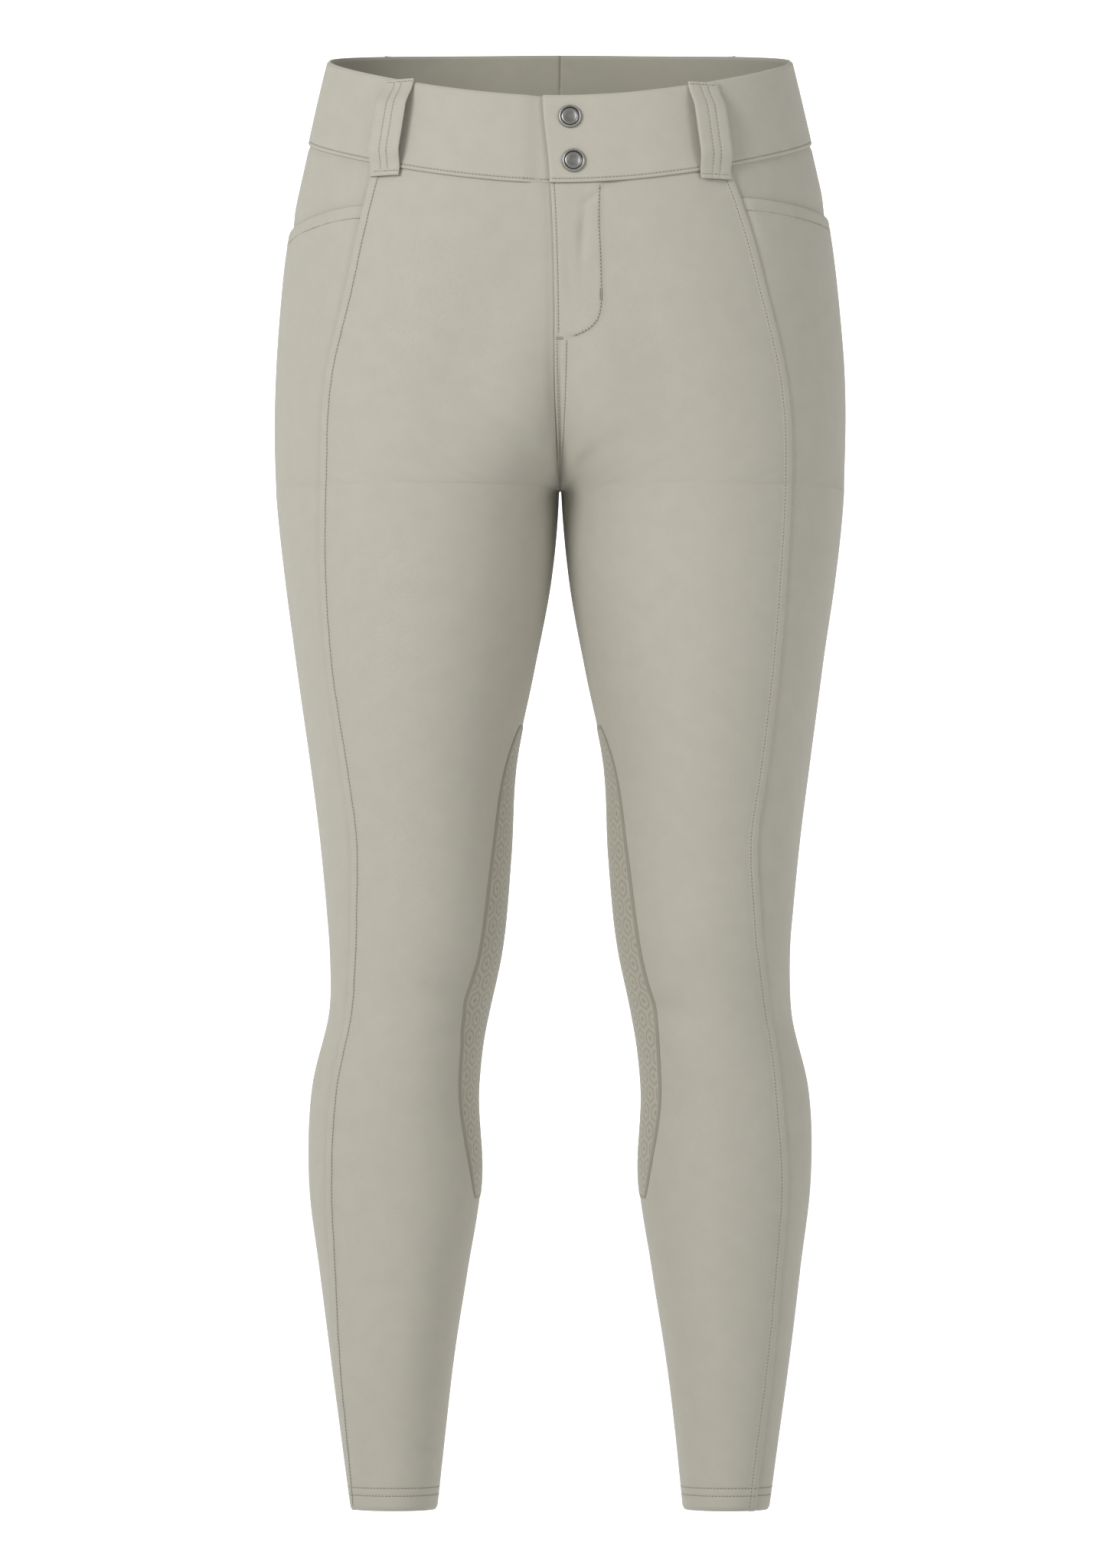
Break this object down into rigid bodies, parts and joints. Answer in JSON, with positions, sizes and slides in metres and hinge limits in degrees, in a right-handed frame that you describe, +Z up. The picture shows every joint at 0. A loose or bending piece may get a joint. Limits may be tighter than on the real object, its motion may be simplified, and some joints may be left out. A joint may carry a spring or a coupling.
{
  "type": "riding breeches",
  "caption": "Fitted riding breeches with a snapped waistband, belt loops, fly, front hip pockets, long front seams and grip patches on the inner knees.",
  "frame": {"origin": "on the body's middle line at the height where the waistband holds, 27 mm below the band's top edge at the sides", "axes": "+Z up, front towards -Y, the wearer's left towards +X"},
  "size_m": [0.3737, 0.2497, 0.9631],
  "materials": {
    "cloth": "matte stretch twill",
    "band_cloth": "matte stretch twill",
    "grip": "satin printed rubber",
    "snap_metal": "antiqued",
    "zip_tape": "matte"
  },
  "bodies": {
    "root": {"front_panel_left": "cloth", "front_panel_right": "cloth", "side_panel_left": "cloth", "side_panel_right": "cloth", "back_panel_left": "cloth", "back_panel_right": "cloth", "hip_yoke_left": "cloth", "hip_yoke_right": "cloth", "waistband_left": "band_cloth", "waistband_right": "band_cloth", "belt_loop_front_left": "band_cloth", "belt_loop_front_right": "band_cloth", "belt_loop_back_left": "band_cloth", "belt_loop_back_right": "band_cloth", "belt_loop_back_centre": "band_cloth", "knee_grip_left": "grip", "knee_grip_right": "grip", "snap_upper": "snap_metal", "snap_lower": "snap_metal", "fly_zip": "zip_tape"}
  },
  "joints": []
}
